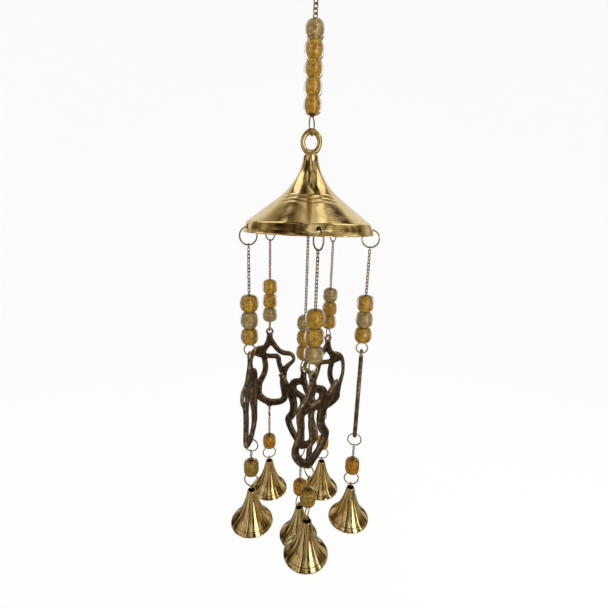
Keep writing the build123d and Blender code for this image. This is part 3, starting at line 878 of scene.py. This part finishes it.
for seed, strand in enumerate(strandNames):
    upper = makeUpperStrand(strand, seed)
    makeCharm(strand)
    lower = makeLowerStrand(strand, seed)
    makeBell(strand)
    makeEyePin(strand)
    makeClapper(strand)
    print(strand, "strand made:", upper, "and", lower, "links")


stageLook = {"floorDrop": 0.12, "radius": 1.3, "sweep": 0.35, "wall": 0.7, "tone": 0.35, "glow": 0.6}


def makeBackdrop():
    # a round cove of pale paper: the floor swept up into a wall and closed over, with a little glow of
    # its own
    look = stageLook
    floor = cadBox[0][2] - look["floorDrop"]
    run = [Vector((0, 0, floor))]
    for i in range(9):
        angle = math.pi / 2 * i / 8
        run.append(Vector((look["radius"] - look["sweep"] * (1 - math.sin(angle)), 0,
                           floor + look["sweep"] * (1 - math.cos(angle)))))
    for i in range(13):
        angle = math.pi / 2 * i / 12
        run.append(Vector((look["radius"] * math.cos(angle), 0,
                           floor + look["wall"] + look["radius"] * math.sin(angle))))
    bm = bmesh.new()
    verts = [bm.verts.new(p) for p in run]
    edges = [bm.edges.new(pair) for pair in zip(verts, verts[1:])]
    bmesh.ops.spin(bm, geom=verts + edges, cent=(0, 0, 0), axis=(0, 0, 1), angle=2 * math.pi,
                   steps=72, use_merge=True)
    mesh = partMesh(bm)
    for polygon in mesh.polygons:
        polygon.use_smooth = True
    material, nodes, links, shader = newMaterial("palePaper")
    shader.inputs["Base Color"].default_value = (look["tone"], look["tone"], look["tone"], 1)
    shader.inputs["Roughness"].default_value = 0.9
    shader.inputs["Specular IOR Level"].default_value = 0.1
    shader.inputs["Emission Color"].default_value = (1, 1, 1, 1)
    shader.inputs["Emission Strength"].default_value = look["glow"]
    mesh.materials.append(material)
    backdrop = bpy.data.objects.new("backdrop", mesh)
    backdrop.visible_glossy = False  # the brass shows the room's streaks instead of blank paper
    bpy.context.scene.collection.objects.link(backdrop)


def addLight(name, place, aim, size, power, colour):
    light = bpy.data.lights.new(name, "AREA")
    light.shape = "RECTANGLE"
    light.size, light.size_y = size
    light.energy = power
    light.color = colour
    lamp = bpy.data.objects.new(name, light)
    lamp.location = place
    lamp.visible_camera = False
    lamp.rotation_euler = (Vector(aim) - Vector(place)).to_track_quat("-Z", "Y").to_euler()
    bpy.context.scene.collection.objects.link(lamp)


def makeWorld():
    # a dim room round the stage for the brass to show: upright streaks of brown and olive, paler behind
    world = bpy.data.worlds.new("studio")
    world.use_nodes = True
    nodes, links = world.node_tree.nodes, world.node_tree.links
    place = nodes.new("ShaderNodeTexCoord").outputs["Generated"]
    stretch = addNode(nodes, "ShaderNodeMapping")
    stretch.inputs["Scale"].default_value = (2.6, 2.6, 0.5)
    links.new(place, stretch.inputs["Vector"])
    streaks = addNode(nodes, "ShaderNodeTexNoise", Scale=1.6, Detail=2.5, Roughness=0.55)
    links.new(stretch.outputs["Vector"], streaks.inputs["Vector"])
    narrow = addNode(nodes, "ShaderNodeMapping")
    narrow.inputs["Scale"].default_value = (0.35, 1.0, 1.0)
    links.new(place, narrow.inputs["Vector"])
    back = addNode(nodes, "ShaderNodeVectorMath", operation="DISTANCE")
    back.inputs[1].default_value = (0, 0.85, 0.2)
    links.new(narrow.outputs["Vector"], back.inputs[0])
    lift = addNode(nodes, "ShaderNodeMapRange")
    lift.inputs["From Min"].default_value = 0.65
    lift.inputs["From Max"].default_value = 0.3
    lift.inputs["To Max"].default_value = 0.2
    links.new(back.outputs["Value"], lift.inputs["Value"])
    paler = addNode(nodes, "ShaderNodeMath", operation="ADD")
    links.new(streaks.outputs["Fac"], paler.inputs[0])
    links.new(lift.outputs["Result"], paler.inputs[1])
    colour = ramp(nodes, links, paler.outputs["Value"], [(0.40, (0.022, 0.012, 0.006)), (0.47, (0.11, 0.075,
                                        0.038)),
                                                         (0.53, (0.27, 0.23, 0.14)), (0.61, (0.66, 0.62,
                                        0.50)),
                                                         (0.72, (1.0, 0.98, 0.92))])
    links.new(colour, nodes["Background"].inputs["Color"])
    nodes["Background"].inputs["Strength"].default_value = 0.9
    bpy.context.scene.world = world


def makeLight():
    bells = (0, 0, -0.3)
    addLight("windowRight", (0.50, -0.76, -0.05), bells, (0.27, 0.95), 2.2, (1.0, 0.97, 0.90))
    addLight("slitRight", (0.86, -0.42, -0.1), bells, (0.07, 0.9), 0.42, (1.0, 0.97, 0.90))
    addLight("slitLeft", (-0.42, -0.85, -0.05), bells, (0.05, 0.7), 0.22, (1.0, 0.93, 0.82))
    addLight("fillLeft", (-0.8, -0.5, 0.1), bells, (0.3, 0.6), 0.32, (1.0, 0.90, 0.76))
    for side in (-1, 1):
        addLight("overhead", (side * 0.52, 0.22, 0.55), (0, 0, -0.12), (0.42, 0.5), 0.9, (1.0, 0.99, 0.96))
    addLight("slitAbove", (0.07, 0.12, 0.7), (0, 0, -0.12), (0.05, 0.6), 0.10, (1.0, 0.95, 0.85))


def makeCamera():
    look = {"lens": 20.7, "distance": 0.2215, "above": 0.0097, "pitch": 16.07, "roll": 1.89,
            "shiftX": -0.0025,
            "shiftY": 0.0219}
    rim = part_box("canopy")[0][2]
    data = bpy.data.cameras.new("camera")
    data.sensor_width = 36
    data.lens = look["lens"]
    data.shift_x, data.shift_y = look["shiftX"], look["shiftY"]
    data.clip_start = 0.01
    camera = bpy.data.objects.new("camera", data)
    tilt = Matrix.Rotation(math.radians(90 - look["pitch"]), 4, "X")
    roll = Matrix.Rotation(math.radians(look["roll"]), 4, "Z")
    camera.matrix_world = Matrix.Translation((0, -look["distance"], rim + look["above"])) @ tilt @ roll
    bpy.context.scene.collection.objects.link(camera)
    bpy.context.scene.camera = camera


makeBackdrop()
makeWorld()
makeLight()
makeCamera()
bpy.context.scene.view_settings.view_transform = "Standard"
print("stage made")
